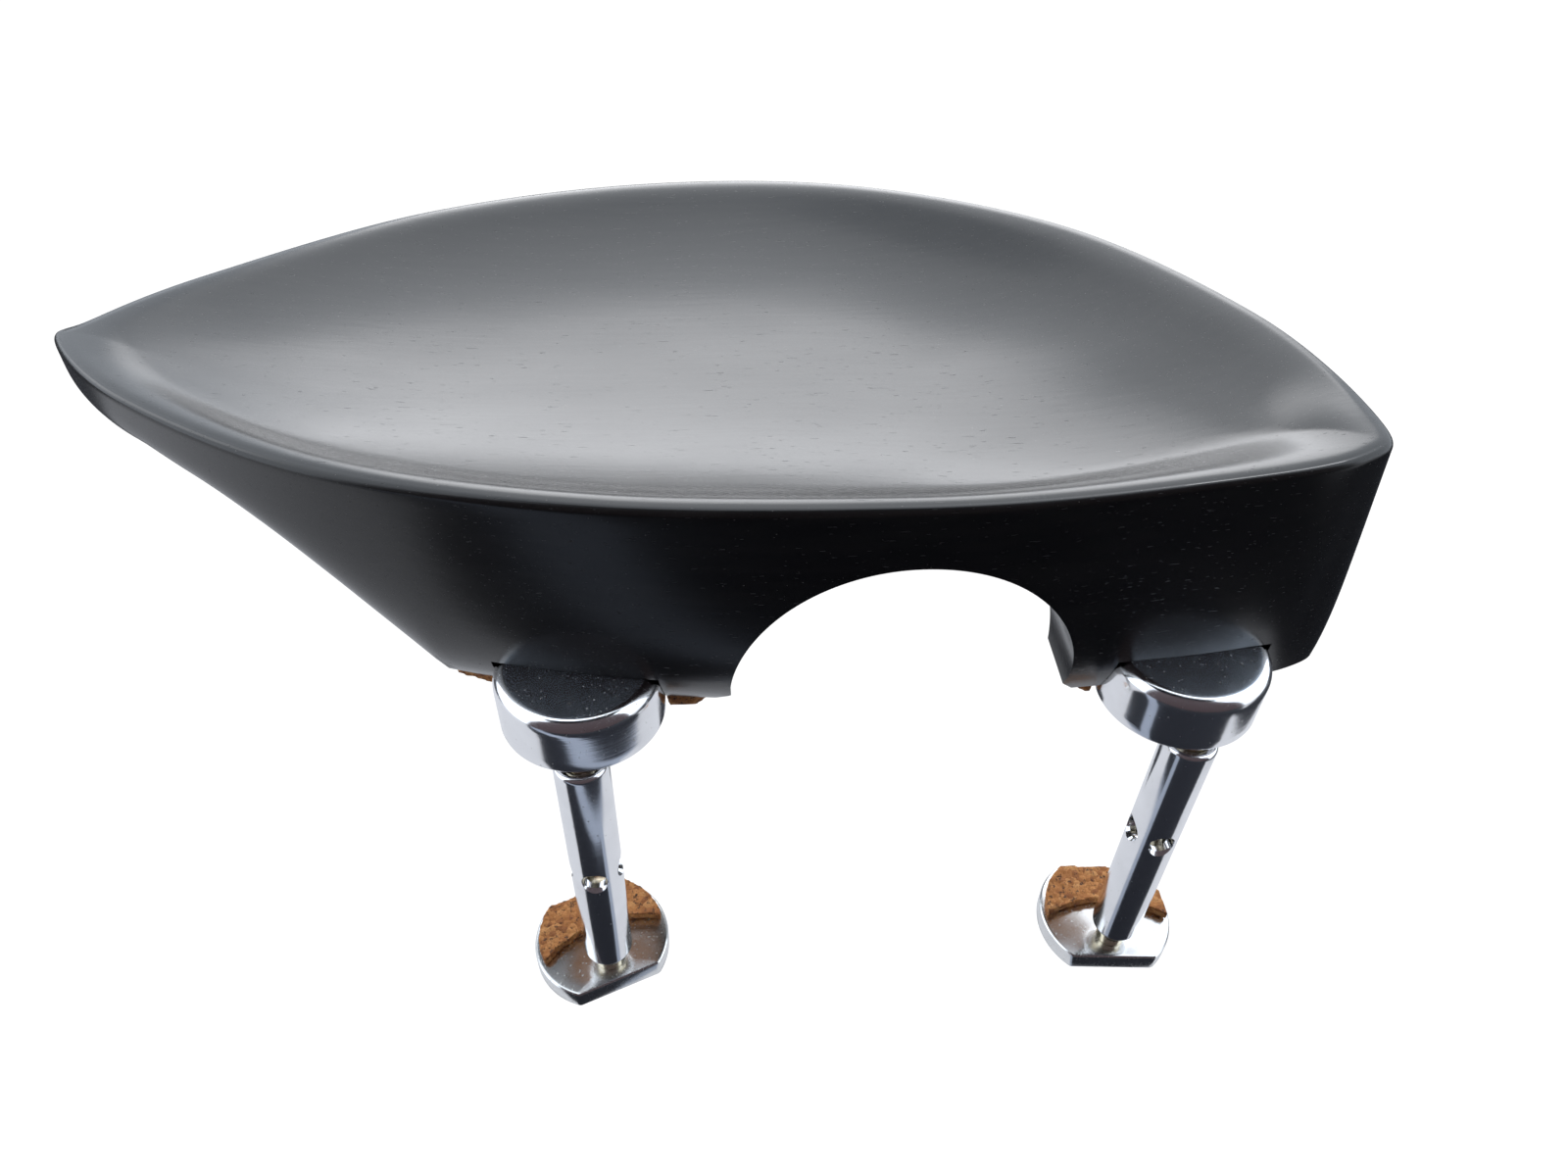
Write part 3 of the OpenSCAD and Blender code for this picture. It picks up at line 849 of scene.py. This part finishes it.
def lamp(name, place, aim, width, height, power, colour=(1, 1, 1)):
    """A soft rectangular lamp, placed and aimed in millimetres."""
    data = bpy.data.lights.new(name, "AREA")
    data.shape = "RECTANGLE"
    data.size = width * MM
    data.size_y = height * MM
    data.energy = power
    data.color = colour
    piece = bpy.data.objects.new(name, data)
    bpy.context.scene.collection.objects.link(piece)
    way = (Vector(aim) - Vector(place)).normalized()
    turn = way.to_track_quat("-Z", "Y").to_matrix().to_4x4()
    piece.matrix_world = Matrix.Translation(Vector(place) * MM) @ turn
    return piece


def unseen(piece):
    """Hides a card from the camera, so that it only shows in what the pieces reflect."""
    piece.visible_camera = False


CARD_FAR = 400
REAR_NEAR = 80
REAR_FAR = 840


def flat(x0, x1, y0, y1, z):
    """Corners of a level card."""
    return [(x0, y0, z), (x1, y0, z), (x1, y1, z), (x0, y1, z)]


def make_floor_wedges(floor_z, dark, pale):
    """Wedges on the floor before each clamp, with a paler one toward the middle of the part."""
    wide = math.tan(math.radians(60))
    slim = math.tan(math.radians(47))
    far = -CARD_FAR
    near = -4.0
    for side, sign in SIDES.items():
        x = sign * BARREL_X
        z = floor_z + 0.4 + 0.1 * sign
        outer = x + sign * wide * CARD_FAR
        seam = x - sign * slim * CARD_FAR
        inner = x - sign * wide * CARD_FAR
        start = x - sign * 2
        one = [(outer, far, z), (seam, far, z), (start, near, z), (x + sign * 5, near, z)]
        two = [(seam, far, z), (inner, far, z), (x - sign * 5, near, z), (start, near, z)]
        unseen(card(f"floor_flag_{side}", one, dark))
        unseen(card(f"floor_flag_inner_{side}", two, pale))


def make_flags(floor_z):
    """Dark cards before, above, behind and under the part, which its gloss reflects."""
    black = plain_material("flag_black", (0.004, 0.005, 0.010), 0.0)
    rosy = plain_material("flag_rosy", (0.035, 0.022, 0.024), 0.4)
    grey = plain_material("flag_grey", (0.16, 0.18, 0.22), 1.0)
    make_floor_wedges(floor_z, black, grey)
    wall = [(-700, -CARD_FAR, floor_z), (700, -CARD_FAR, floor_z),
            (700, -CARD_FAR, 1500), (-700, -CARD_FAR, 1500)]
    unseen(card("front_flag", wall, rosy))
    unseen(card("top_flag", flat(-700, 700, -CARD_FAR, 20, 1500), black))
    z = floor_z + 0.3
    unseen(card("rear_flag", flat(-3000, 3000, REAR_NEAR, REAR_FAR, z), black))
    unseen(card("arch_flag", flat(-10, 10, 32, REAR_NEAR, z), black))
    unseen(card("corner_flag", flat(80, CARD_FAR, -60, REAR_NEAR, z), black))
    low = [(-2000, REAR_FAR, floor_z), (2000, REAR_FAR, floor_z),
           (2000, REAR_FAR, 100), (-2000, REAR_FAR, 100)]
    unseen(card("horizon_flag", low, black))


def floor_card(name, z, colour, glow):
    """A wide floor that glows evenly, so that nothing casts a shadow on it."""
    paper = plain_material(name, colour, glow)
    shader = paper.node_tree.nodes["Principled BSDF"]
    shader.inputs["Base Color"].default_value = (0.05, 0.05, 0.05, 1)
    return card(name, flat(-3000, 3000, -3000, 3000, z), paper)


def make_studio():
    """The floor lies clear of the feet at the far end of their travel."""
    slides = [j for j in frame["record"]["behaviour"]["joints"] if j["type"] == "slide"]
    travel = max(joint["range_m"][1] for joint in slides)
    floor_z = (cad_low[2] - travel) / MM - 0.6
    white = floor_card("floor_white", floor_z, (1.0, 1.0, 1.0), 1.02)
    white.visible_glossy = False
    unseen(floor_card("floor_reflected", floor_z + 0.1, (0.62, 0.64, 0.69), 1.0))
    make_flags(floor_z)
    lamp("window_low", (95, 850, 352), (0, 30, 20), 820, 480, 3.8, (1.0, 0.985, 0.985))
    lamp("window_high", (70, 610, 720), (0, 30, 20), 800, 480, 1.0)
    lamp("side_left", (-700, 300, 420), (-40, 30, 10), 400, 400, 0.7)
    world = bpy.data.worlds.new("studio")
    world.use_nodes = True
    background = world.node_tree.nodes["Background"]
    background.inputs[0].default_value = (0.84, 0.91, 1.0, 1)
    background.inputs[1].default_value = 1.9
    bpy.context.scene.world = world
    bpy.context.scene.view_settings.view_transform = "Standard"


make_studio()
